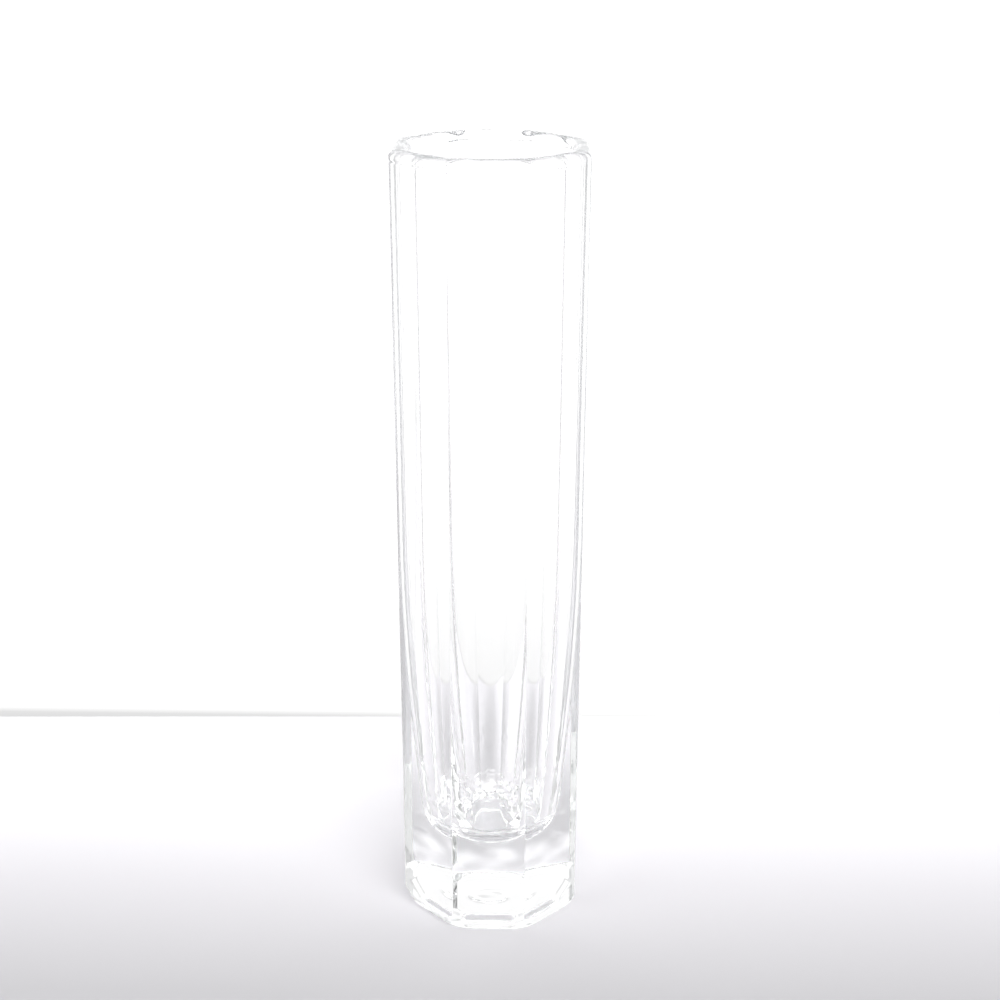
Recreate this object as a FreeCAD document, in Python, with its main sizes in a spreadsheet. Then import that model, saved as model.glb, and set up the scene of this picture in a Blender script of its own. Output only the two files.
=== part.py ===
"""Eight-sided pressed glass bud vase, one piece of clear glass.

Outside it is an octagonal prism that widens slightly from the foot to the rim.
Inside is a round cavity, nearly straight above mid height, drawing in below it
to a small rounded floor, so that the lower part is thick solid glass.
The foot is trimmed to a tapered octagon with well rounded corners, which cuts
each flat straight and each upright edge back to a point. The underside has a
shallow octagonal recess, so the vase stands on a flat ring.

Millimetres, +Z up, origin at the centre of the ring that it stands on.
One flat side faces -Y.
"""
import FreeCAD, Part
import math
import os

import Sketcher

NODE = "glass_vase"
SHEET = "Dimensions"
FACETS = 8

# Driving dimensions: alias, value, what it measures.
DIMENSIONS = [
    ("vase_height", "200", "foot to rim, mm"),
    ("foot_flats", "45.2", "across the flats at the foot, mm"),
    ("rim_flats", "46.2", "across the flats at the rim, mm"),
    ("edge_round", "0.5", "radius along the eight upright edges, mm"),
    ("wall_at_rim", "3.75", "glass at the middle of a flat, at the rim, mm"),
    ("cavity_draft", "0.4", "upper cavity wall from the upright, degrees"),
    ("taper_height", "104", "where the cavity begins to draw in, mm"),
    ("taper_radius", "500", "radius of the long curve that draws it in, mm"),
    ("floor_height", "20.7", "solid glass under the cavity, mm"),
    ("floor_round", "6.2", "radius between cavity wall and floor, mm"),
    ("plan_flats", "43.8", "across the flats of the foot's taper, at the table, mm"),
    ("plan_corner", "9.8", "corners of the foot's taper, at the table, radius, mm"),
    ("plan_slope", "20.3", "foot's taper from the upright, degrees"),
    ("recess_flats", "30.8", "across the flats of the recess, at the table, mm"),
    ("recess_corner", "3", "corners of the recess, at the table, radius, mm"),
    ("recess_depth", "1.5", "recess under the foot, mm"),
    ("recess_slope", "45", "side of the recess from the upright, degrees"),
    ("mark_outer", "5.2", "round groove in the recess, outer radius, mm"),
    ("mark_inner", "3.6", "round groove in the recess, inner radius, mm"),
    ("mark_depth", "0.4", "round groove in the recess, depth, mm"),
    ("lip_round", "1.8", "radius of the lip, inside and outside, mm"),
    ("foot_round", "0.4", "radius along the edges of the foot, mm"),
]

# How far a cutting profile runs past the surface that it cuts, mm.
OVERRUN = 5
# Two heights closer than this are the same height, mm.
SAME = 0.01


def add_sheet(doc):
    """Spreadsheet with one row per driving dimension."""
    sheet = doc.addObject("Spreadsheet::Sheet", SHEET)
    for row, (alias, value, meaning) in enumerate(DIMENSIONS, start=1):
        sheet.set("A%d" % row, alias)
        sheet.set("B%d" % row, value)
        sheet.set("C%d" % row, meaning)
        sheet.setAlias("B%d" % row, alias)
    doc.recompute()
    return sheet


def cell(alias, unit="mm"):
    """Expression for a cell with its unit."""
    return "%s.%s * 1 %s" % (SHEET, alias, unit)


def origin_feature(body, role):
    """One of the body's own origin planes or axes."""
    for feature in body.Origin.OriginFeatures:
        if feature.Role == role:
            return feature
    raise ValueError("no origin feature " + role)


def add_sketch(body, name, role):
    """Empty sketch on one of the body's origin planes."""
    sketch = body.newObject("Sketcher::SketchObject", name)
    sketch.AttachmentSupport = [(origin_feature(body, role), "")]
    sketch.MapMode = "FlatFace"
    return sketch


def bind(sketch, name, expression, *constraint):
    """Add a constraint, name it and drive it by an expression."""
    index = sketch.addConstraint(Sketcher.Constraint(*constraint))
    sketch.renameConstraint(index, name)
    sketch.setExpression("Constraints." + name, expression)


def add_outline(body, sheet):
    """Octagon across the flats at the foot, one flat square to -Y."""
    sketch = add_sketch(body, "foot_octagon", "XY_Plane")
    half_turn = math.pi / FACETS
    reach = sheet.foot_flats / 2 / math.cos(half_turn)
    corners = []
    for number in range(FACETS):
        turn = (2 * number + 1) * half_turn - math.pi / 2
        corners.append(FreeCAD.Vector(reach * math.cos(turn), reach * math.sin(turn), 0))
    for number in range(FACETS):
        following = corners[(number + 1) % FACETS]
        sketch.addGeometry(Part.LineSegment(corners[number], following), False)
    ring = sketch.addGeometry(Part.Circle(FreeCAD.Vector(), FreeCAD.Vector(0, 0, 1), reach), True)
    sketch.addConstraint(Sketcher.Constraint("Coincident", ring, 3, -1, 1))
    for number in range(FACETS):
        following = (number + 1) % FACETS
        sketch.addConstraint(Sketcher.Constraint("Coincident", number, 2, following, 1))
        sketch.addConstraint(Sketcher.Constraint("PointOnObject", number, 1, ring))
    for number in range(1, FACETS):
        sketch.addConstraint(Sketcher.Constraint("Equal", 0, number))
    # Side 3 is the flat opposite the one facing -Y.
    sketch.addConstraint(Sketcher.Constraint("Horizontal", FACETS // 2 - 1))
    bind(sketch, "corner_reach", cell("foot_flats") + " / 2 / cos(22.5 deg)", "Radius", ring, reach)
    return sketch


def tall_faces(feature, sheet):
    """Numbers of a feature's faces that run up the height of the vase."""
    return [index for index, face in enumerate(feature.Shape.Faces, start=1)
            if face.BoundBox.ZLength > sheet.vase_height / 2]


def add_round_octagon(body, name, flats, corner, flats_size, corner_size):
    """Octagon with rounded corners about the axis, one flat square to -Y.

    The corners' centres lie on a construction circle round the axis.
    """
    sketch = add_sketch(body, name, "XY_Plane")
    half_turn = math.pi / FACETS
    core = flats_size / 2 - corner_size
    reach = core / math.cos(half_turn)
    upright = FreeCAD.Vector(0, 0, 1)
    for number in range(FACETS):
        turn = 2 * number * half_turn - math.pi / 2
        outward = FreeCAD.Vector(math.cos(turn), math.sin(turn), 0)
        onward = FreeCAD.Vector(-math.sin(turn), math.cos(turn), 0)
        middle = outward * (flats_size / 2)
        half_side = onward * (core * math.tan(half_turn))
        sketch.addGeometry(Part.LineSegment(middle - half_side, middle + half_side), False)
        centre = outward * core + half_side
        corner_circle = Part.Circle(centre, upright, corner_size)
        sketch.addGeometry(Part.ArcOfCircle(corner_circle, turn, turn + 2 * half_turn), False)
    ring = sketch.addGeometry(Part.Circle(FreeCAD.Vector(), upright, reach), True)
    sketch.addConstraint(Sketcher.Constraint("Coincident", ring, 3, -1, 1))
    for number in range(FACETS):
        side = 2 * number
        bend = side + 1
        next_side = (side + 2) % (2 * FACETS)
        sketch.addConstraint(Sketcher.Constraint("Tangent", side, 2, bend, 1))
        sketch.addConstraint(Sketcher.Constraint("Tangent", bend, 2, next_side, 1))
        sketch.addConstraint(Sketcher.Constraint("PointOnObject", bend, 3, ring))
    for number in range(1, FACETS):
        sketch.addConstraint(Sketcher.Constraint("Equal", 0, 2 * number))
        sketch.addConstraint(Sketcher.Constraint("Equal", 1, 2 * number + 1))
    # The side opposite the one facing -Y.
    sketch.addConstraint(Sketcher.Constraint("Horizontal", FACETS))
    bind(sketch, "corner", corner, "Radius", 1, corner_size)
    bind(sketch, "reach", "(%s / 2 - %s) / cos(22.5 deg)" % (flats, corner), "Radius", ring, reach)
    return sketch


def lean_sides(body, name, base, faces, angle):
    """Lean upright faces about the table plane, so that the solid gains on the way up."""
    lean = body.newObject("PartDesign::Draft", name)
    lean.Base = (base, ["Face%d" % index for index in faces])
    lean.NeutralPlane = (origin_feature(body, "XY_Plane"), [""])
    lean.Reversed = True
    lean.setExpression("Angle", angle)
    body.Document.recompute()
    return lean


def add_prism(body, sheet):
    """Solid prism, widening from foot to rim, with softened upright edges."""
    pad = body.newObject("PartDesign::Pad", "prism")
    pad.Profile = add_outline(body, sheet)
    pad.setExpression("Length", cell("vase_height"))
    body.Document.recompute()

    half_growth = "(%s.rim_flats - %s.foot_flats) / 2" % (SHEET, SHEET)
    angle = "atan(%s / %s.vase_height)" % (half_growth, SHEET)
    flare = lean_sides(body, "flare", pad, tall_faces(pad, sheet), angle)

    rounding = body.newObject("PartDesign::Fillet", "upright_edges")
    upright = [index for index, edge in enumerate(flare.Shape.Edges, start=1)
               if edge.BoundBox.ZLength > sheet.vase_height / 2]
    rounding.Base = (flare, ["Edge%d" % index for index in upright])
    rounding.setExpression("Radius", cell("edge_round"))
    body.Document.recompute()


def add_groove(body, name, sketch):
    """Turn a profile about the body's upright axis and cut it away."""
    before = body.Shape.Volume
    groove = body.newObject("PartDesign::Groove", name)
    groove.Profile = sketch
    groove.ReferenceAxis = (sketch, ["V_Axis"])
    groove.Angle = 360
    body.Document.recompute()
    if body.Shape.Volume > before - 1:
        raise RuntimeError(name + " cut nothing")
    return groove


def add_polyline(sketch, points):
    """Closed chain of lines through points of a turned profile, in order."""
    for number, (radius, height) in enumerate(points):
        next_radius, next_height = points[(number + 1) % len(points)]
        start = FreeCAD.Vector(radius, height, 0)
        end = FreeCAD.Vector(next_radius, next_height, 0)
        sketch.addGeometry(Part.LineSegment(start, end), False)
    for number in range(len(points)):
        following = (number + 1) % len(points)
        sketch.addConstraint(Sketcher.Constraint("Coincident", number, 2, following, 1))


def build_taper(doc, sheet):
    """Tapered solid that the prism is trimmed to; it widens upward past the prism."""
    body = doc.addObject("PartDesign::Body", "foot_taper")
    pad = body.newObject("PartDesign::Pad", "taper_block")
    pad.Profile = add_round_octagon(body, "taper_plan", cell("plan_flats"), cell("plan_corner"),
                                    sheet.plan_flats, sheet.plan_corner)
    pad.setExpression("Length", "%s + %d mm" % (cell("vase_height"), OVERRUN))
    doc.recompute()
    lean_sides(body, "taper", pad, tall_faces(pad, sheet), cell("plan_slope", "deg"))
    return body


def trim_foot(body, doc, sheet):
    """Keep what the prism and the tapered solid share."""
    before = body.Shape.Volume
    taper = build_taper(doc, sheet)
    trim = body.newObject("PartDesign::Boolean", "foot_trim")
    trim.setObjects([taper])
    trim.Type = "Common"
    doc.recompute()
    if body.Shape.Volume > before - 1:
        raise RuntimeError("the foot was not trimmed")


def cut_cavity(body, sheet):
    """Round cavity: straight upper wall, long curve inward, rounded floor."""
    sketch = add_sketch(body, "cavity_profile", "XZ_Plane")
    above = sheet.vase_height + OVERRUN
    draft = math.radians(sheet.cavity_draft)
    mouth = sheet.rim_flats / 2 - sheet.wall_at_rim
    bend = mouth - (sheet.vase_height - sheet.taper_height) * math.tan(draft)
    bend_centre = FreeCAD.Vector(bend - sheet.taper_radius * math.cos(draft),
                                 sheet.taper_height + sheet.taper_radius * math.sin(draft), 0)
    corner_height = sheet.floor_height + sheet.floor_round
    # The floor's rounding touches the long curve from inside.
    reach = sheet.taper_radius - sheet.floor_round
    corner_rise = corner_height - bend_centre.y
    corner_radius = bend_centre.x + math.sqrt(reach ** 2 - corner_rise ** 2)
    corner = FreeCAD.Vector(corner_radius, corner_height, 0)
    touch = math.atan2(corner_rise, corner_radius - bend_centre.x)

    upper = Part.LineSegment(FreeCAD.Vector(mouth + OVERRUN * math.tan(draft), above, 0),
                             FreeCAD.Vector(bend, sheet.taper_height, 0))
    upright = FreeCAD.Vector(0, 0, 1)
    long_circle = Part.Circle(bend_centre, upright, sheet.taper_radius)
    long_curve = Part.ArcOfCircle(long_circle, touch, -draft)
    corner_circle = Part.Circle(corner, upright, sheet.floor_round)
    corner_curve = Part.ArcOfCircle(corner_circle, -math.pi / 2, touch)
    floor = Part.LineSegment(FreeCAD.Vector(corner_radius, sheet.floor_height, 0),
                             FreeCAD.Vector(0, sheet.floor_height, 0))
    axis = Part.LineSegment(FreeCAD.Vector(0, sheet.floor_height, 0), FreeCAD.Vector(0, above, 0))
    lid = Part.LineSegment(FreeCAD.Vector(0, above, 0), FreeCAD.Vector(mouth, above, 0))
    for piece in (upper, long_curve, corner_curve, floor, axis, lid):
        sketch.addGeometry(piece, False)

    sketch.addConstraint(Sketcher.Constraint("Tangent", 0, 2, 1, 2))
    sketch.addConstraint(Sketcher.Constraint("Tangent", 1, 1, 2, 2))
    sketch.addConstraint(Sketcher.Constraint("Tangent", 2, 1, 3, 1))
    sketch.addConstraint(Sketcher.Constraint("Coincident", 3, 2, 4, 1))
    sketch.addConstraint(Sketcher.Constraint("Coincident", 4, 2, 5, 1))
    sketch.addConstraint(Sketcher.Constraint("Coincident", 5, 2, 0, 1))
    sketch.addConstraint(Sketcher.Constraint("PointOnObject", 4, 1, -2))
    sketch.addConstraint(Sketcher.Constraint("Vertical", 4))
    sketch.addConstraint(Sketcher.Constraint("Horizontal", 3))
    sketch.addConstraint(Sketcher.Constraint("Horizontal", 5))
    lean = "tan(%s)" % cell("cavity_draft", "deg")
    mouth_size = "(%s / 2 - %s)" % (cell("rim_flats"), cell("wall_at_rim"))
    straight = "(%s - %s)" % (cell("vase_height"), cell("taper_height"))
    bind(sketch, "taper_radius", cell("taper_radius"), "Radius", 1, sheet.taper_radius)
    bind(sketch, "floor_round", cell("floor_round"), "Radius", 2, sheet.floor_round)
    bind(sketch, "floor_height", cell("floor_height"), "DistanceY", -1, 1, 4, 1, sheet.floor_height)
    bind(sketch, "above", cell("vase_height") + " + %d mm" % OVERRUN, "DistanceY", -1, 1, 4, 2, above)
    bind(sketch, "taper_height", cell("taper_height"), "DistanceY", -1, 1, 0, 2, sheet.taper_height)
    bind(sketch, "bend", "%s - %s * %s" % (mouth_size, straight, lean), "DistanceX", -1, 1, 0, 2, bend)
    bind(sketch, "mouth", "%s + %d mm * %s" % (mouth_size, OVERRUN, lean),
         "DistanceX", -1, 1, 0, 1, mouth + OVERRUN * math.tan(draft))
    add_groove(body, "cavity", sketch)


def cut_recess(body, sheet):
    """Shallow octagonal recess with sloping sides, which leaves a ring to stand on."""
    before = body.Shape.Volume
    pocket = body.newObject("PartDesign::Pocket", "recess")
    pocket.Profile = add_round_octagon(body, "recess_plan", cell("recess_flats"), cell("recess_corner"),
                                       sheet.recess_flats, sheet.recess_corner)
    pocket.Reversed = True
    pocket.setExpression("Length", cell("recess_depth"))
    body.Document.recompute()
    straight = body.Shape.Volume
    reach = sheet.recess_flats / 2 / math.cos(math.pi / FACETS)
    walls = [index for index, face in enumerate(pocket.Shape.Faces, start=1)
             if abs(face.BoundBox.ZMax - sheet.recess_depth) < SAME and face.BoundBox.ZLength > SAME
             and math.hypot(face.CenterOfMass.x, face.CenterOfMass.y) < reach]
    lean_sides(body, "recess_sides", pocket, walls, cell("recess_slope", "deg"))
    if straight > before - 1 or body.Shape.Volume < straight + 1:
        raise RuntimeError("the recess was not cut as a narrowing one")


def cut_mark(body, sheet):
    """Fine round groove that the mould's ejector leaves in the recess."""
    sketch = add_sketch(body, "mark_profile", "XZ_Plane")
    top = sheet.recess_depth + sheet.mark_depth
    add_polyline(sketch, [(sheet.mark_inner, 0), (sheet.mark_outer, 0),
                          (sheet.mark_outer, top), (sheet.mark_inner, top)])
    sketch.addConstraint(Sketcher.Constraint("Horizontal", 2))
    sketch.addConstraint(Sketcher.Constraint("Vertical", 1))
    sketch.addConstraint(Sketcher.Constraint("Vertical", 3))
    sketch.addConstraint(Sketcher.Constraint("PointOnObject", 0, 1, -1))
    sketch.addConstraint(Sketcher.Constraint("PointOnObject", 0, 2, -1))
    bind(sketch, "inner", cell("mark_inner"), "DistanceX", -1, 1, 0, 1, sheet.mark_inner)
    bind(sketch, "outer", cell("mark_outer"), "DistanceX", -1, 1, 0, 2, sheet.mark_outer)
    bind(sketch, "top", cell("recess_depth") + " + " + cell("mark_depth"),
         "DistanceY", -1, 1, 2, 1, top)
    add_groove(body, "ejector_mark", sketch)


def round_edges(body, name, radius_alias, wanted):
    """Round those edges of the body that the test accepts."""
    base = body.Tip
    chosen = [index for index, edge in enumerate(base.Shape.Edges, start=1) if wanted(edge)]
    rounding = body.newObject("PartDesign::Fillet", name)
    rounding.Base = (base, ["Edge%d" % index for index in chosen])
    rounding.setExpression("Radius", cell(radius_alias))
    body.Document.recompute()


def lies_at(edge, height):
    """True for an edge that lies level at this height."""
    low = min(vertex.Z for vertex in edge.Vertexes)
    high = max(vertex.Z for vertex in edge.Vertexes)
    return abs(low - height) < SAME and abs(high - height) < SAME


def on_foot_trim(edge, sheet):
    """True for the edges where the foot's taper meets the flats."""
    rise = (sheet.foot_flats - sheet.plan_flats) / 2 / math.tan(math.radians(sheet.plan_slope))
    heights = [vertex.Z for vertex in edge.Vertexes]
    return min(heights) > rise - SAME and edge.BoundBox.ZLength < rise * 2 and max(heights) < rise * 3


def build_vase(doc, sheet):
    """The whole vase, as one body."""
    body = doc.addObject("PartDesign::Body", NODE)
    body.Label = NODE
    add_prism(body, sheet)
    trim_foot(body, doc, sheet)
    round_edges(body, "foot_edges", "foot_round", lambda edge: on_foot_trim(edge, sheet))
    cut_cavity(body, sheet)
    cut_recess(body, sheet)
    cut_mark(body, sheet)
    round_edges(body, "standing_ring", "foot_round", lambda edge: lies_at(edge, 0))
    round_edges(body, "lip", "lip_round", lambda edge: lies_at(edge, sheet.vase_height))
    body.Placement = FreeCAD.Placement()
    return body


def check(doc, bodies):
    """Stop if anything in the document failed or a body isn't one sound solid."""
    for item in doc.Objects:
        if "Invalid" in item.State or "Error" in item.State:
            raise RuntimeError(item.Name + " failed")
    for body in bodies:
        shape = body.Shape
        if shape.isNull() or not shape.isValid() or len(shape.Solids) != 1:
            raise RuntimeError(body.Label + " is not one sound solid")
        print(body.Label, "volume %.0f mm3" % shape.Volume, shape.BoundBox)


def main():
    doc = FreeCAD.newDocument("glass_vase")
    sheet = add_sheet(doc)
    bodies = [build_vase(doc, sheet)]
    doc.recompute()
    check(doc, bodies)
    os.makedirs("parts", exist_ok=True)
    for body in bodies:
        body.Shape.exportStep(os.path.join("parts", body.Label + ".step"))


main()
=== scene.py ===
import math

import bpy
import numpy as np
from mathutils import Matrix, Vector, noise


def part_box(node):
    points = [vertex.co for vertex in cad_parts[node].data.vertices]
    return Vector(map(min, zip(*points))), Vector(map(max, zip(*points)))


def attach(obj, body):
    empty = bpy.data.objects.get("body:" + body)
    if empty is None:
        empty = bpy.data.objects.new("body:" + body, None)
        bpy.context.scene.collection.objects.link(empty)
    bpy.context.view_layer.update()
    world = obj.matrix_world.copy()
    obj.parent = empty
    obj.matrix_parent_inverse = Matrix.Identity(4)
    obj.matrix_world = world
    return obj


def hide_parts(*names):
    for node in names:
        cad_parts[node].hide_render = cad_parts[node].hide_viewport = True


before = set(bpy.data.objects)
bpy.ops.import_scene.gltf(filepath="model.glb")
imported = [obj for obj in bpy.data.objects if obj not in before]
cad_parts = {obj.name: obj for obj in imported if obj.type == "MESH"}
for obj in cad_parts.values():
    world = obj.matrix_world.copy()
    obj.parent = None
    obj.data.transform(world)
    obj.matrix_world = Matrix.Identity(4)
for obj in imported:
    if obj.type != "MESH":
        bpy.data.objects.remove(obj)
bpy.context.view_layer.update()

NODE = "glass_vase"
MM = 0.001

# The vase is one closed mesh made of rings, from the middle of its underside up the
# outside, over the lip and down to the middle of the cavity's floor. Each ring has one
# point on every upright column. Lengths of the vase are in mm until build_vase.

# ---------------------------------------------------------------- sizes, mm
LOW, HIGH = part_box(NODE)
HEIGHT = (HIGH[2] - LOW[2]) / MM
RIM_APOTHEM = (HIGH[0] - LOW[0]) / 2 / MM
RIM_FLARE = 0.5
FOOT_APOTHEM = RIM_APOTHEM - RIM_FLARE
WALL = 3.75
FACETS = 8
SECTOR = 2 * math.pi / FACETS
EDGE_ROUND = 0.5

# The cavity: a nearly straight wall, a long curve inward and a rounded floor.
CAVITY_DRAFT = math.radians(0.4)
TAPER_HEIGHT = 104.0
TAPER_RADIUS = 500.0
FLOOR_HEIGHT = 20.7
FLOOR_ROUND = 6.2
MOUTH_RADIUS = RIM_APOTHEM - WALL

# The foot: a tapered octagon with well rounded corners cuts the prism. The cut sits
# slightly off the axis, and it is never lower than FOOT_CUT_LEAST.
FOOT_BASE_APOTHEM = 22.2
FOOT_CORNER = 9.8
FOOT_SLOPE = 0.37
FOOT_SHIFT = (0.5, 0.2)
FOOT_CUT_LEAST = 0.5
FOOT_ROUND = 0.4
# The foot's shape is worked out for the prism as wide as it is at this height.
FOOT_LEVEL = 3.0
# Any point far enough along a side gives fillet its direction.
FILLET_ARM = 5.0

# The recess in the underside, and how far each of its edges is eased. Its rings are
# round in the middle and octagonal from RECESS_ROUND_END inside its edge.
RECESS_APOTHEM = 15.4
RECESS_SHARPNESS = 36
RECESS_DEPTH = 1.5
RECESS_RUN = 1.5
RECESS_EASE = 0.4
RECESS_TOP_MARGIN = 0.6
RECESS_ROUND_END = 3.0
CENTRE_REACH = 0.25

# The mould's swirled mark in the middle of the recess.
MARK_RADIUS = 4.4
MARK_WIDTH = 1.1
MARK_DEPTH = 0.4
MARK_SWIRL_RATE = 0.8
MARK_SWIRL_START = 2.0
MARK_DOME_CENTRE = (-2.0, 0.6)
MARK_DOME_SPREAD = 5.0
MARK_DOME_SHARE = 0.5

# ---------------------------------------------------------------- marks of the pressing, mm
# Each noise is its length across, its length upright and its seed.
SEED_STEP = 7.3

# Ripples in the cavity. They die out towards the floor's centre and the lip.
RIPPLE_DEPTH = 0.02
RIPPLE_NOISE = (6.0, 90.0, 1)
CALM_CENTRE = (0.5, 4.0)
CALM_BELOW_LIP = 12.0

# A crease round the cavity, which rises and falls a little.
CREASE_HEIGHT = 25.8
CREASE_WIDTH = 0.3
CREASE_RISE = 0.22
CREASE_SWAY = 0.35
CREASE_NOISE = (4.0, 90.0, 2)

# Chill wrinkles above the crease, in patches.
WRINKLE_TOP = 45.0
WRINKLE_DEPTH = 0.34
WRINKLE_SPAN = 1.7
WRINKLE_LENGTH = 4.5
WRINKLE_NOISE = (WRINKLE_SPAN, WRINKLE_LENGTH, 3)
FINE_WRINKLE_NOISE = (WRINKLE_SPAN / 2, WRINKLE_LENGTH / 2, 4)
FINE_WRINKLE_SHARE = 0.4
WRINKLE_PATCH_NOISE = (5.0, 9.0, 5)
WRINKLE_PATCH_RANGE = (-0.25, 0.35)
WRINKLE_FADE_IN = 1.5
WRINKLE_FADE_OUT = 6.0
# The front has fewer wrinkles: this share of them goes, within a turn in radians. That
# ends between the heights FRONT_CALM_TOP.
FRONT_CALM = 0.9
FRONT_CALM_TURN = 0.42
FRONT_CALM_TOP = (33, 37)

# Slow waves in the outside. They begin between the heights WAVE_START, and deepen from
# LIP_BAND to LIP_WAVE_FULL below the top.
WAVE_DEPTH = 0.022
WAVE_START = (5, 12)
WAVE_NOISE_X = (9.0, 34.0, 6)
WAVE_NOISE_Y = (9.0, 34.0, 7)
LIP_WAVE_DEPTH = 0.12
LIP_BAND = 4
LIP_WAVE_FULL = 1

# The fire-polished lip: it begins lower in some places than in others, and it dips.
LIP_ROUND = 1.8
LIP_FULLNESS = 0.9
LIP_UNEVEN = 0.3
LIP_UNEVEN_NOISE = (7.0, 9.0, 8)
LIP_DIP = 0.14
LIP_DIP_NOISE = (5.0, 9.0, 9)
LIP_DIP_RANGE = (-0.3, 0.5)

# A broken crease where the lip meets the flats.
LIP_LINE_DROP = 2.55
LIP_LINE_WIDTH = 0.26
LIP_LINE_DEPTH = 0.30
LIP_LINE_SWAY = 0.2
LIP_LINE_NOISE = (6.0, 9.0, 10)
LIP_LINE_GAP_NOISE = (9.0, 9.0, 11)
LIP_LINE_GAP_RANGE = (-0.25, 0.2)

# ---------------------------------------------------------------- mesh density
# Columns on each flat and in each upright edge.
FLAT_STEPS = 20
EDGE_STEPS = 6
# Rings of the underside and the foot. Counts include the ends that two stretches share.
RECESS_TOP_RINGS = 60
RECESS_EASE_RINGS = 5
STANDING_STEPS = 8
FOOT_ROUND_STEPS = 6
FOOT_CUT_STEPS = 10
FOOT_RISE_STEPS = 11
# The flats run evenly from BODY_START (mm) to the lip's band.
BODY_START = 14
BODY_RINGS = 54
LIP_BAND_RINGS = 15
LIP_RINGS = 25
# Rings of the cavity. They are closer together from FINE_ABOVE (mm) over the wrinkles.
MOUTH_RINGS = 36
TAPER_RINGS = 48
FINE_ABOVE = 5
WRINKLE_RINGS = 90
FLOOR_ROUND_RINGS = 80
FLOOR_RINGS = 16


# ---------------------------------------------------------------- helpers for shapes
def eased(value, low, high):
    """0 below low, 1 above high and a smooth step between."""
    share = np.clip((value - low) / (high - low), 0, 1)
    return share * share * (3 - 2 * share)


def fading(value, low, high):
    """1 below low, 0 above high and a smooth step between."""
    return eased(-value, -high, -low)


def noise_at(x, y, z, kind):
    """Smooth noise, about -1 to 1, at points in mm."""
    across, upright, seed = kind
    shift = SEED_STEP * seed
    return np.array([noise.noise((a / across + shift, b / across - shift, c / upright + shift))
                     for a, b, c in zip(x, y, z)])


def facet_turn(number):
    """Direction of the middle of a flat; flat 0 faces -Y."""
    return number * SECTOR - math.pi / 2


def outline_columns():
    """Where each upright column of the mesh stands on the octagon.

    A column is (flat direction, share along the flat from -1 to 1, turn round
    the rounded edge from 0 to 1), so that it can be placed at any apothem.
    """
    columns = []
    for number in range(FACETS):
        turn = facet_turn(number)
        for step in range(FLAT_STEPS + 1):
            # Closer together towards the edges, where the light bends most.
            share = math.sin((step / FLAT_STEPS - 0.5) * math.pi)
            columns.append((turn, share, 0.0))
        for step in range(1, EDGE_STEPS):
            columns.append((turn, 1.0, step / EDGE_STEPS))
    return np.array(columns)


COLUMNS = outline_columns()


def octagon(apothem):
    """Points of the rounded octagon, one for each column."""
    turn, share, bend = COLUMNS.T
    half_flat = (apothem - EDGE_ROUND) * math.tan(SECTOR / 2)
    along = share * half_flat
    # Centre of the rounding at the flat's far end, then out along the normal.
    angle = turn + bend * SECTOR
    centre_x = np.cos(turn) * (apothem - EDGE_ROUND) - np.sin(turn) * along
    centre_y = np.sin(turn) * (apothem - EDGE_ROUND) + np.cos(turn) * along
    return centre_x + EDGE_ROUND * np.cos(angle), centre_y + EDGE_ROUND * np.sin(angle)


def soft_octagon(direction, apothem):
    """Distance from the axis of an octagon with rounded corners."""
    total = np.zeros(len(direction))
    for number in range(FACETS):
        facing = np.cos(direction - facet_turn(number))
        total += np.maximum(facing, 0) ** RECESS_SHARPNESS
    return apothem / total ** (1 / RECESS_SHARPNESS)


def apothem_at(height):
    """Half the width across the flats at a height."""
    return FOOT_APOTHEM + (RIM_APOTHEM - FOOT_APOTHEM) * height / HEIGHT


def fillet(before, corner, after, radius, steps):
    """Arc of points that rounds a corner between two directions."""
    to_before = (before - corner).normalized()
    to_after = (after - corner).normalized()
    half = to_before.angle(to_after) / 2
    cut = radius / math.tan(half)
    centre = corner + (to_before + to_after).normalized() * (radius / math.sin(half))
    start = corner + to_before * cut - centre
    end = corner + to_after * cut - centre
    points = []
    for step in range(steps + 1):
        point = start.lerp(end, step / steps).normalized() * radius
        points.append(centre + point)
    return points


# ---------------------------------------------------------------- underside
def underside_profile():
    """Reach and height of the recess, from the centre to its edge."""
    inner = RECESS_APOTHEM - RECESS_RUN
    points = []
    for reach in np.linspace(CENTRE_REACH, inner - RECESS_TOP_MARGIN, RECESS_TOP_RINGS):
        points.append((reach, RECESS_DEPTH))
    for share in np.linspace(0, 1, RECESS_EASE_RINGS):
        points.append((inner - RECESS_EASE + 2 * RECESS_EASE * share,
                       RECESS_DEPTH - RECESS_EASE * share ** 2))
    for share in np.linspace(0, 1, RECESS_EASE_RINGS):
        points.append((RECESS_APOTHEM - RECESS_EASE + 2 * RECESS_EASE * share,
                       RECESS_EASE * (1 - share) ** 2))
    return points


def swirl_mark(x, y):
    """Rise of the mould's swirled mark in the middle of the underside."""
    reach = np.hypot(x, y)
    turn = np.arctan2(y, x)
    ring = np.exp(-((reach - MARK_RADIUS) / MARK_WIDTH) ** 2)
    swirl = 0.5 + 0.5 * np.cos(turn + reach * MARK_SWIRL_RATE - MARK_SWIRL_START)
    dome_x, dome_y = MARK_DOME_CENTRE
    from_dome = (x - dome_x) ** 2 + (y - dome_y) ** 2
    dome = MARK_DOME_SHARE * np.exp(-from_dome / MARK_DOME_SPREAD)
    return MARK_DEPTH * (ring * swirl + dome)


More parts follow.
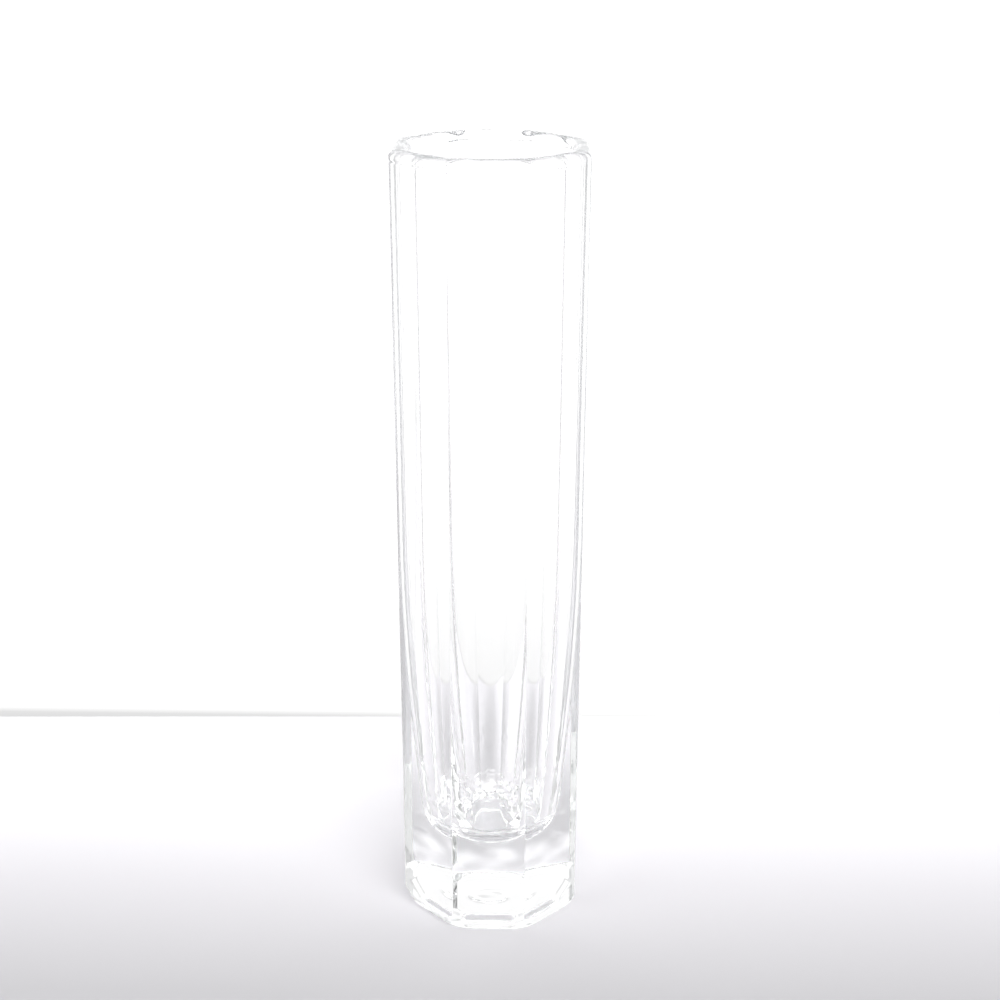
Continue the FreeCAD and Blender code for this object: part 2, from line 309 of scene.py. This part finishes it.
def recess_rings(direction):
    """Rings of the underside, round in the middle and octagonal at the edge."""
    rings = []
    for reach, height in underside_profile():
        round_share = 1 - eased(reach, MARK_RADIUS + 2 * MARK_WIDTH, RECESS_APOTHEM - RECESS_ROUND_END)
        radius = soft_octagon(direction, reach) * (1 - round_share) + reach * round_share
        x, y = np.cos(direction) * radius, np.sin(direction) * radius
        rings.append((x, y, height + swirl_mark(x, y)))
    return rings


def standing_rings(edge_x, edge_y):
    """The flat ring that the vase stands on, from the recess to the foot's edge."""
    direction = np.arctan2(edge_y, edge_x)
    inner = soft_octagon(direction, RECESS_APOTHEM + RECESS_EASE)
    in_x, in_y = np.cos(direction) * inner, np.sin(direction) * inner
    rings = []
    for step in range(1, STANDING_STEPS):
        share = step / STANDING_STEPS
        x = in_x + (edge_x - in_x) * share
        y = in_y + (edge_y - in_y) * share
        rings.append((x, y, np.zeros(len(x))))
    return rings


# ---------------------------------------------------------------- foot
def foot_falls(body_x, body_y):
    """How the foot's cut falls away from each column of the prism.

    The cut's sides are those of a smaller octagon, the core, spread outward evenly, by
    FOOT_CORNER at the table and by FOOT_SLOPE more for each mm of height. Gives the
    outward direction of the fall line, in x and y, and where the cut ends on the prism.
    """
    core = FOOT_BASE_APOTHEM - FOOT_CORNER
    shifted_x, shifted_y = body_x - FOOT_SHIFT[0], body_y - FOOT_SHIFT[1]
    sector = np.round((np.arctan2(shifted_y, shifted_x) + math.pi / 2) / SECTOR)
    turn = sector * SECTOR - math.pi / 2
    out = shifted_x * np.cos(turn) + shifted_y * np.sin(turn)
    along = -shifted_x * np.sin(turn) + shifted_y * np.cos(turn)
    reach = core * math.tan(SECTOR / 2)
    away_out = out - core
    away_along = along - np.clip(along, -reach, reach)
    spread = np.hypot(away_out, away_along)
    away_out, away_along = away_out / spread, away_along / spread
    fall_x = away_out * np.cos(turn) - away_along * np.sin(turn)
    fall_y = away_out * np.sin(turn) + away_along * np.cos(turn)
    edge_height = np.maximum((spread - FOOT_CORNER) / FOOT_SLOPE, FOOT_CUT_LEAST)
    return fall_x, fall_y, edge_height


def foot_profile(edge_height):
    """One column's points in the plane of its fall line, up to BODY_START.

    A point is its distance out from the prism's face, so 0 or less, and its height.
    """
    base = Vector((-edge_height * FOOT_SLOPE, 0))
    edge = Vector((0, edge_height))
    inward = base + Vector((-FILLET_ARM, 0))
    upward = Vector((0, edge_height + FILLET_ARM))
    lower = fillet(inward, base, edge, FOOT_ROUND, FOOT_ROUND_STEPS)
    upper = fillet(base, edge, upward, FOOT_ROUND, FOOT_ROUND_STEPS)
    points = list(lower)
    for step in range(1, FOOT_CUT_STEPS):
        points.append(lower[-1].lerp(upper[0], step / FOOT_CUT_STEPS))
    points += upper
    top = Vector((0, BODY_START))
    for step in range(1, FOOT_RISE_STEPS + 1):
        points.append(upper[-1].lerp(top, step / FOOT_RISE_STEPS))
    return points


def foot_rings():
    """Rings of the foot, from the recess's edge to BODY_START."""
    body_x, body_y = octagon(apothem_at(FOOT_LEVEL))
    fall_x, fall_y, edge_height = foot_falls(body_x, body_y)
    profiles = [foot_profile(height) for height in edge_height]
    rings = []
    for level in zip(*profiles):
        offset = np.array([point[0] for point in level])
        height = np.array([point[1] for point in level])
        x = body_x + fall_x * offset
        y = body_y + fall_y * offset
        grow = apothem_at(height) / apothem_at(FOOT_LEVEL)
        rings.append((x * grow, y * grow, height))
    edge_x, edge_y, _ = rings[0]
    return standing_rings(edge_x, edge_y) + rings


# ---------------------------------------------------------------- flats and lip
def outer_wave(x, y, z):
    """The slow waves and slightly uneven edges of the outside, as x and y offsets."""
    depth = WAVE_DEPTH * eased(z, *WAVE_START)
    depth += (LIP_WAVE_DEPTH - WAVE_DEPTH) * eased(z, HEIGHT - LIP_BAND, HEIGHT - LIP_WAVE_FULL)
    return depth * noise_at(x, y, z, WAVE_NOISE_X), depth * noise_at(x, y, z, WAVE_NOISE_Y)


def lip_line(x, y, z):
    """Depth of the broken crease where the fire-polished lip meets the flats."""
    level = np.full(len(x), HEIGHT)
    line = HEIGHT - LIP_LINE_DROP + LIP_LINE_SWAY * noise_at(x, y, level, LIP_LINE_NOISE)
    broken = eased(noise_at(x, y, level, LIP_LINE_GAP_NOISE), *LIP_LINE_GAP_RANGE)
    return LIP_LINE_DEPTH * broken * np.exp(-((z - line) / LIP_LINE_WIDTH) ** 2)


def flat_rings(direction):
    """Rings of the eight flats, from above the foot to the lowest place of the lip."""
    band = HEIGHT - LIP_BAND
    heights = list(np.linspace(BODY_START, band, BODY_RINGS)[1:])
    heights += list(np.linspace(band, HEIGHT - LIP_ROUND - LIP_UNEVEN, LIP_BAND_RINGS)[1:])
    rings = []
    for height in heights:
        x, y = octagon(apothem_at(height))
        z = np.full(len(x), height)
        wave_x, wave_y = outer_wave(x, y, z)
        inset = lip_line(x, y, z)
        x = x + wave_x - np.cos(direction) * inset
        y = y + wave_y - np.sin(direction) * inset
        rings.append((x, y, z))
    return rings


def lip_rings():
    """The lip, from the octagon outside to the circle inside."""
    out_x, out_y = octagon(RIM_APOTHEM)
    out_r = np.hypot(out_x, out_y)
    direction = np.arctan2(out_y, out_x)
    rings = []
    for angle in np.linspace(0, math.pi, LIP_RINGS)[1:-1]:
        blend = (1 - math.cos(angle)) / 2
        radius = out_r * (1 - blend) + MOUTH_RADIUS * blend
        x, y = np.cos(direction) * radius, np.sin(direction) * radius
        level = np.full(len(x), HEIGHT)
        drop = LIP_ROUND + LIP_UNEVEN * (1 - blend) * noise_at(x, y, level, LIP_UNEVEN_NOISE)
        dip = LIP_DIP * eased(noise_at(x, y, level, LIP_DIP_NOISE), *LIP_DIP_RANGE)
        lift = math.sin(min(angle, math.pi - angle)) ** LIP_FULLNESS
        z = level - drop * (1 - lift) - dip * lift
        wave_x, wave_y = outer_wave(x, y, z)
        rings.append((x + wave_x, y + wave_y, z))
    return rings


# ---------------------------------------------------------------- cavity
def cavity_profile():
    """Cavity wall and floor from rim to centre: radius, height and the normal's lean."""
    bend = MOUTH_RADIUS - (HEIGHT - TAPER_HEIGHT) * math.tan(CAVITY_DRAFT)
    centre_r = bend - TAPER_RADIUS * math.cos(CAVITY_DRAFT)
    centre_z = TAPER_HEIGHT + TAPER_RADIUS * math.sin(CAVITY_DRAFT)
    corner_z = FLOOR_HEIGHT + FLOOR_ROUND
    reach = TAPER_RADIUS - FLOOR_ROUND
    corner_r = centre_r + math.sqrt(reach ** 2 - (corner_z - centre_z) ** 2)
    touch = math.atan2(corner_z - centre_z, corner_r - centre_r)
    fine = -math.asin((centre_z - WRINKLE_TOP - FINE_ABOVE) / TAPER_RADIUS)
    points = []
    for height in np.linspace(HEIGHT - LIP_ROUND, TAPER_HEIGHT, MOUTH_RINGS):
        points.append((MOUTH_RADIUS - (HEIGHT - height) * math.tan(CAVITY_DRAFT), height, 0.0))
    taper = list(np.linspace(-CAVITY_DRAFT, fine, TAPER_RINGS)[1:])
    taper += list(np.linspace(fine, touch, WRINKLE_RINGS)[1:])
    for angle in taper:
        points.append((centre_r + TAPER_RADIUS * math.cos(angle),
                       centre_z + TAPER_RADIUS * math.sin(angle), angle))
    for angle in np.linspace(touch, -math.pi / 2, FLOOR_ROUND_RINGS)[1:]:
        points.append((corner_r + FLOOR_ROUND * math.cos(angle),
                       corner_z + FLOOR_ROUND * math.sin(angle), angle))
    for radius in np.linspace(corner_r, CENTRE_REACH, FLOOR_RINGS)[1:]:
        points.append((radius, FLOOR_HEIGHT, -math.pi / 2))
    return points


def wrinkles(x, y, z):
    """Depth of the chill wrinkles in the cavity."""
    turn = np.arctan2(y, x)
    in_front = np.exp(-((turn + math.pi / 2) / FRONT_CALM_TURN) ** 2)
    calm = 1 - FRONT_CALM * (in_front * fading(z, *FRONT_CALM_TOP))
    fade = eased(z, CREASE_HEIGHT, CREASE_HEIGHT + WRINKLE_FADE_IN)
    fade = fade * fading(z, WRINKLE_TOP - WRINKLE_FADE_OUT, WRINKLE_TOP)
    shape = np.abs(noise_at(x, y, z, WRINKLE_NOISE))
    fine = FINE_WRINKLE_SHARE * noise_at(x, y, z, FINE_WRINKLE_NOISE)
    patches = eased(noise_at(x, y, z, WRINKLE_PATCH_NOISE), *WRINKLE_PATCH_RANGE)
    return WRINKLE_DEPTH * fade * calm * patches * (shape + fine)


def cavity_sink(x, y, z):
    """How far the cavity's surface sinks into the glass."""
    sink = RIPPLE_DEPTH * noise_at(x, y, z, RIPPLE_NOISE)
    if z[0] > WRINKLE_TOP:
        return sink
    crease = CREASE_HEIGHT + CREASE_SWAY * noise_at(x, y, z, CREASE_NOISE)
    sink -= CREASE_RISE * np.exp(-((z - crease) / CREASE_WIDTH) ** 2)
    return sink + wrinkles(x, y, z)


def cavity_rings(direction):
    """Rings of the cavity with its crease, wrinkles and ripples."""
    unit_x, unit_y = np.cos(direction), np.sin(direction)
    rings = []
    for radius, height, lean in cavity_profile():
        z = np.full(len(direction), height)
        calm = eased(radius, *CALM_CENTRE) * eased(HEIGHT - height, LIP_ROUND, CALM_BELOW_LIP)
        sink = calm * cavity_sink(unit_x * radius, unit_y * radius, z)
        reach = radius + sink * math.cos(lean)
        rings.append((unit_x * reach, unit_y * reach, z + sink * math.sin(lean)))
    return rings


# ---------------------------------------------------------------- the whole vase
def build_rings():
    """Every ring of the closed surface: arrays of x, y and z for all columns."""
    foot_x, foot_y = octagon(FOOT_APOTHEM)
    direction = np.arctan2(foot_y, foot_x)
    return (recess_rings(direction) + foot_rings() + flat_rings(direction)
            + lip_rings() + cavity_rings(direction))


def ring_faces(levels, count):
    """Faces between neighbouring rings, and fans to the two points at the centres."""
    bottom = levels * count
    floor = bottom + 1
    last = (levels - 1) * count
    faces = []
    for level in range(levels - 1):
        for column in range(count):
            following = (column + 1) % count
            a, b = level * count + column, level * count + following
            faces.append((a, b, b + count, a + count))
    for column in range(count):
        following = (column + 1) % count
        faces.append((bottom, following, column))
        faces.append((floor, last + column, last + following))
    return faces


def build_vase():
    """The whole vase as one closed mesh, in metres."""
    rings = np.array(build_rings())
    points = rings.transpose(0, 2, 1).reshape(-1, 3) * MM
    ends = [[0, 0, rings[0, 2].mean() * MM], [0, 0, rings[-1, 2].mean() * MM]]
    points = np.concatenate([points, ends])
    mesh = bpy.data.meshes.new("vase")
    mesh.from_pydata(points.tolist(), [], ring_faces(len(rings), len(COLUMNS)))
    mesh.polygons.foreach_set("use_smooth", [True] * len(mesh.polygons))
    mesh.update()
    vase = bpy.data.objects.new("pressed_glass_vase", mesh)
    bpy.context.scene.collection.objects.link(vase)
    return vase


# ---------------------------------------------------------------- helpers for materials
SMOOTH = "SMOOTHSTEP"
WHITE = (1, 1, 1, 1)


def grey(level):
    """A grey of this brightness."""
    return (level, level, level, 1)


def new_material(name):
    """A material with its nodes and links."""
    material = bpy.data.materials.new(name)
    material.use_nodes = True
    return material, material.node_tree.nodes, material.node_tree.links


def map_range(nodes, links, value, start, end, low=0.0, high=1.0, kind="LINEAR"):
    """A value mapped from start and end to low and high, and held there beyond them."""
    span = nodes.new("ShaderNodeMapRange")
    span.interpolation_type = kind
    span.inputs["From Min"].default_value = start
    span.inputs["From Max"].default_value = end
    span.inputs["To Min"].default_value = low
    span.inputs["To Max"].default_value = high
    links.new(value, span.inputs["Value"])
    return span.outputs["Result"]


def vector_math(nodes, links, operation, vector, constant=None):
    """A vector maths node, with a constant as its second vector if one is given."""
    node = nodes.new("ShaderNodeVectorMath")
    node.operation = operation
    links.new(vector, node.inputs[0])
    if constant is not None:
        node.inputs[1].default_value = constant
    return node


def noise_node(nodes, links, place, scale, detail):
    """A noise texture's value at a place."""
    texture = nodes.new("ShaderNodeTexNoise")
    texture.inputs["Scale"].default_value = scale
    texture.inputs["Detail"].default_value = detail
    links.new(place, texture.inputs["Vector"])
    return texture.outputs["Fac"]


def colour_ramp(nodes, links, share, first, last, between):
    """A colour ramp from its first, last and other stops: positions and colours."""
    ramp = nodes.new("ShaderNodeValToRGB")
    stops = ramp.color_ramp.elements
    for stop, (position, colour) in zip(stops, (first, last)):
        stop.position = position
        stop.color = colour
    for position, colour in between:
        stops.new(position).color = colour
    links.new(share, ramp.inputs["Fac"])
    return ramp.outputs["Color"]


# ---------------------------------------------------------------- glass
GLASS_INDEX = 1.5
GLASS_TINT = (0.62, 0.645, 0.64, 1)
GLASS_TINT_DENSITY = 3.2
SKIN_SCALE = 110.0
SKIN_DETAIL = 3.0
SKIN_BUMP = 0.03
SKIN_BUMP_HEIGHT = 0.0002
# Where the skin's noise is between these, its roughness runs from 0 to SKIN_ROUGHNESS.
SKIN_ROUGH_RANGE = (0.35, 0.75)
SKIN_ROUGHNESS = 0.012


def glass_material():
    """Clear soda-lime glass with a faintly uneven, fire-polished skin."""
    material, nodes, links = new_material("clear_pressed_glass")
    shader = nodes["Principled BSDF"]
    shader.inputs["Base Color"].default_value = WHITE
    shader.inputs["Transmission Weight"].default_value = 1.0
    shader.inputs["IOR"].default_value = GLASS_INDEX
    place = nodes.new("ShaderNodeTexCoord").outputs["Object"]
    skin = noise_node(nodes, links, place, SKIN_SCALE, SKIN_DETAIL)
    bump = nodes.new("ShaderNodeBump")
    bump.inputs["Strength"].default_value = SKIN_BUMP
    bump.inputs["Distance"].default_value = SKIN_BUMP_HEIGHT
    links.new(skin, bump.inputs["Height"])
    links.new(bump.outputs["Normal"], shader.inputs["Normal"])
    roughness = map_range(nodes, links, skin, *SKIN_ROUGH_RANGE, high=SKIN_ROUGHNESS)
    links.new(roughness, shader.inputs["Roughness"])
    absorb = nodes.new("ShaderNodeVolumeAbsorption")
    absorb.inputs["Color"].default_value = GLASS_TINT
    absorb.inputs["Density"].default_value = GLASS_TINT_DENSITY
    links.new(absorb.outputs["Volume"], nodes["Material Output"].inputs["Volume"])
    return material


vase = build_vase()
vase.data.materials.append(glass_material())
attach(vase, "root")
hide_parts(NODE)

# ---------------------------------------------------------------- camera, in metres
# The camera stands a little to the right of the flat that faces -Y.
CAMERA_AZIMUTH = math.radians(1.6)
CAMERA_DISTANCE = 0.3873
CAMERA_HEIGHT = 0.2610
CAMERA_PITCH = math.radians(21.07)
CAMERA_YAW = math.radians(-0.33)
CAMERA_ROLL = math.radians(0.14)
# In mm, as Blender has them.
FOCAL_LENGTH = 59.83
SENSOR_WIDTH = 36


def add_camera():
    """The camera, a little above the rim and looking down at the vase."""
    camera = bpy.data.objects.new("camera", bpy.data.cameras.new("camera"))
    bpy.context.scene.collection.objects.link(camera)
    camera.data.lens = FOCAL_LENGTH
    camera.data.sensor_width = SENSOR_WIDTH
    around = Matrix.Rotation(CAMERA_AZIMUTH, 4, "Z")
    place = Matrix.Translation((0, -CAMERA_DISTANCE, CAMERA_HEIGHT))
    yaw = Matrix.Rotation(CAMERA_YAW, 4, "Z")
    pitch = Matrix.Rotation(math.pi / 2 - CAMERA_PITCH, 4, "X")
    roll = Matrix.Rotation(CAMERA_ROLL, 4, "Z")
    camera.matrix_world = around @ place @ yaw @ pitch @ roll
    bpy.context.scene.camera = camera


add_camera()

# ---------------------------------------------------------------- stage, in metres
# Brightness of the room from the camera's side to the backdrop, as linear radiance.
FRONT_GLOW = 0.11
SIDE_GLOW = 0.80
BACKDROP_GLOW = 1.30
# Where these are reached: 0 is a direction straight at the front, 1 straight back.
FRONT_STOP = 0.08
SIDE_STOP = 0.45
BACKDROP_STOP = 0.75
# The ceiling takes over as a direction's Z goes from the first to the second.
CEILING_GLOW = 0.86
CEILING_RISE = (0.35, 0.8)


def edge_cosines(outer, inner):
    """Cosines of the angles, in degrees, between which a round light fades in."""
    return math.cos(math.radians(outer)), math.cos(math.radians(inner))


# A lamp above the camera, and a dimmer window low down behind it: the direction, the
# fading edge and the brightness of each.
LAMP = (Vector((0.25, -1.0, 1.5)).normalized(), edge_cosines(24, 16), 5.0)
WINDOW = (Vector((0.0, -1.0, 0.1)).normalized(), edge_cosines(34, 16), 0.62)

# The paper sheet, and how its colour changes between two places in Y: painted light and shade, darker
# near the camera and brighter at the back where the backdrop would light it.
SHEET_HALF_WIDTH = 0.9
SHEET_FRONT_EDGE = -1.6
SHEET_BACK_EDGE = 0.0936
SHEET_LEVEL = -0.00005
SHEET_CHANGE = (-0.05, 0.05)
SHEET_FAR = (0.86, 0.85, 0.88, 1)
SHEET_MIDDLE = (0.65, 0.64, 0.665, 1)
SHEET_NEAR = (0.475, 0.47, 0.485, 1)
PAPER_ROUGHNESS = 0.9
PAPER_SPECULAR = 0.1

# Painted light: the ground beyond the sheet glows, from dim in front to brightest at GROUND_BACK, and
# is painted dimmer along the sheet's back edge as painted shadow.
GROUND_HALF_WIDTH = 4
GROUND_LEVEL = -0.0006
GROUND_COLOUR = 0.02
GROUND_FRONT = -0.5
GROUND_BACK = 0.3
# Painted shadow: the ground is painted dimmer in a strip EDGE_GAP wide along the sheet's back edge.
EDGE_GAP = 0.0012
EDGE_GLOW = 0.72
NEAR_GLOW = 0.99

# Painted light: a painted caustic, glowing in soft patches within an oval on the paper, where the
# glass would gather light.
PAINTED_CAUSTIC_CENTRE = (0.002, 0.027, 0.0)
PAINTED_CAUSTIC_REACH = (0.024, 0.010, 1.0)
PAINTED_CAUSTIC_CORE = 0.6
PAINTED_CAUSTIC_LEAST = 0.02
PAINTED_CAUSTIC_GLOW = 0.42
PATCH_SCALE = 90.0
PATCH_DETAIL = 1.0
PATCH_RANGE = (0.38, 0.62)

# A painted shadow: the paper further behind the vase is painted darker, as if in the vase's soft
# shadow.
SHADE_CENTRE = (0.0, 0.064, 0.0)
SHADE_REACH = (0.030, 0.052, 1.0)
SHADE_CORE = 0.1
SHADE_LEVEL = 0.74

# Light is reflected many times inside the thick glass before it gets out.
LIGHT_BOUNCES = 160


def share_in_depth(nodes, links, low, high):
    """How far back in Y a point is: 0 at low and 1 at high."""
    place = nodes.new("ShaderNodeNewGeometry")
    split = nodes.new("ShaderNodeSeparateXYZ")
    links.new(place.outputs["Position"], split.inputs[0])
    return map_range(nodes, links, split.outputs["Y"], low, high)


def oval_mask(nodes, links, centre, reach, core):
    """1 inside the core of an oval on the paper, easing to 0 at its edge."""
    place = nodes.new("ShaderNodeNewGeometry").outputs["Position"]
    centred = vector_math(nodes, links, "SUBTRACT", place, centre)
    scaled = vector_math(nodes, links, "DIVIDE", centred.outputs["Vector"], reach)
    distance = vector_math(nodes, links, "LENGTH", scaled.outputs["Vector"])
    return map_range(nodes, links, distance.outputs["Value"], 1.0, core, kind=SMOOTH)


def painted_caustic_light(nodes, links):
    """Painted caustic: patchy glow painted on the paper close behind the foot, standing in for light
    the glass would gather.
    """
    place = nodes.new("ShaderNodeNewGeometry").outputs["Position"]
    patches = noise_node(nodes, links, place, PATCH_SCALE, PATCH_DETAIL)
    strength = map_range(nodes, links, patches, *PATCH_RANGE, PAINTED_CAUSTIC_LEAST, PAINTED_CAUSTIC_GLOW)
    product = nodes.new("ShaderNodeMath")
    product.operation = "MULTIPLY"
    oval = oval_mask(nodes, links, PAINTED_CAUSTIC_CENTRE, PAINTED_CAUSTIC_REACH, PAINTED_CAUSTIC_CORE)
    links.new(oval, product.inputs[0])
    links.new(strength, product.inputs[1])
    return product.outputs["Value"]


def sheet_material():
    """White paper with painted light and shade: painted brighter at the back, towards the backdrop,
    and darker in front.
    """
    material, nodes, links = new_material("paper_sheet")
    shader = nodes["Principled BSDF"]
    paper = colour_ramp(nodes, links, share_in_depth(nodes, links, *SHEET_CHANGE),
                        (0.0, SHEET_NEAR), (1.0, SHEET_FAR), [(0.5, SHEET_MIDDLE)])
    # Painted shadow: the paper's colour is darkened inside the oval behind the vase.
    oval = oval_mask(nodes, links, SHADE_CENTRE, SHADE_REACH, SHADE_CORE)
    shade = map_range(nodes, links, oval, 0.0, 1.0, 1.0, SHADE_LEVEL)
    shaded = vector_math(nodes, links, "SCALE", paper)
    links.new(shade, shaded.inputs["Scale"])
    links.new(shaded.outputs["Vector"], shader.inputs["Base Color"])
    shader.inputs["Roughness"].default_value = PAPER_ROUGHNESS
    shader.inputs["Specular IOR Level"].default_value = PAPER_SPECULAR
    shader.inputs["Emission Color"].default_value = WHITE
    # Painted light: the paper glows with the painted caustic behind the foot.
    links.new(painted_caustic_light(nodes, links), shader.inputs["Emission Strength"])
    return material


def ground_material():
    """The floor beyond the sheet, glowing as painted light: bright towards the backdrop, darker in
    front, with painted shade at the sheet's back edge.
    """
    material, nodes, links = new_material("bright_ground")
    shader = nodes["Principled BSDF"]
    shader.inputs["Base Color"].default_value = grey(GROUND_COLOUR)
    shader.inputs["Roughness"].default_value = PAPER_ROUGHNESS
    shader.inputs["Specular IOR Level"].default_value = 0.0
    near_edge = []
    # Painted shadow at the sheet's back edge, then the ground's painted glow behind it.
    for depth, glow in ((SHEET_BACK_EDGE, EDGE_GLOW), (SHEET_BACK_EDGE + EDGE_GAP, NEAR_GLOW)):
        near_edge.append(((depth - GROUND_FRONT) / (GROUND_BACK - GROUND_FRONT), grey(glow)))
    glow = colour_ramp(nodes, links, share_in_depth(nodes, links, GROUND_FRONT, GROUND_BACK),
                       (0.0, grey(FRONT_GLOW)), (1.0, grey(BACKDROP_GLOW)), near_edge)
    links.new(glow, shader.inputs["Emission Color"])
    shader.inputs["Emission Strength"].default_value = 1.0
    return material


def add_plane(name, low, high, height, material):
    """A level rectangle of the stage, turned to face the camera."""
    mesh = bpy.data.meshes.new(name)
    corners = [(low[0], low[1], height), (high[0], low[1], height),
               (high[0], high[1], height), (low[0], high[1], height)]
    mesh.from_pydata(corners, [], [(0, 1, 2, 3)])
    plane = bpy.data.objects.new(name, mesh)
    bpy.context.scene.collection.objects.link(plane)
    mesh.materials.append(material)
    plane.rotation_euler.z = CAMERA_AZIMUTH


add_plane("white_ground", (-GROUND_HALF_WIDTH, -GROUND_HALF_WIDTH),
          (GROUND_HALF_WIDTH, GROUND_HALF_WIDTH), GROUND_LEVEL, ground_material())
add_plane("table_sheet", (-SHEET_HALF_WIDTH, SHEET_FRONT_EDGE),
          (SHEET_HALF_WIDTH, SHEET_BACK_EDGE), SHEET_LEVEL, sheet_material())


def room_light(nodes, links, sky):
    """The room's walls and ceiling, without the lamp and the window."""
    split = nodes.new("ShaderNodeSeparateXYZ")
    links.new(sky, split.inputs[0])
    depth = map_range(nodes, links, split.outputs["Y"], -1.0, 1.0)
    walls = colour_ramp(nodes, links, depth,
                        (FRONT_STOP, grey(FRONT_GLOW)), (BACKDROP_STOP, grey(BACKDROP_GLOW)),
                        [(SIDE_STOP, grey(SIDE_GLOW))])
    lift = map_range(nodes, links, split.outputs["Z"], *CEILING_RISE)
    mix = nodes.new("ShaderNodeMix")
    mix.data_type = "RGBA"
    # The node has the same socket names for each type of data, so numbers pick them:
    # 0 is the share, 6 and 7 are the two colours, and output 2 is the mixed colour.
    links.new(lift, mix.inputs[0])
    links.new(walls, mix.inputs[6])
    mix.inputs[7].default_value = grey(CEILING_GLOW)
    return mix.outputs[2]


def round_glow(nodes, links, sky, direction, edge, glow):
    """A soft round light in the sky round a direction."""
    toward = vector_math(nodes, links, "DOT_PRODUCT", sky, direction)
    return map_range(nodes, links, toward.outputs["Value"], *edge, high=glow, kind=SMOOTH)


def add_world():
    """Soft light all round: bright behind and above, darker on the camera's side."""
    world = bpy.data.worlds.new("studio")
    bpy.context.scene.world = world
    world.use_nodes = True
    nodes, links = world.node_tree.nodes, world.node_tree.links
    sky = nodes.new("ShaderNodeTexCoord").outputs["Generated"]
    total = room_light(nodes, links, sky)
    for direction, edge, glow in (LAMP, WINDOW):
        added = vector_math(nodes, links, "ADD", total)
        links.new(round_glow(nodes, links, sky, direction, edge, glow), added.inputs[1])
        total = added.outputs["Vector"]
    back = nodes["Background"]
    links.new(total, back.inputs["Color"])
    back.inputs["Strength"].default_value = 1.0


add_world()
bpy.context.scene.view_settings.view_transform = "Standard"
bpy.context.scene.cycles.max_bounces = LIGHT_BOUNCES
bpy.context.scene.cycles.transmission_bounces = LIGHT_BOUNCES
bpy.context.scene.cycles.glossy_bounces = LIGHT_BOUNCES
bpy.context.scene.cycles.blur_glossy = 0
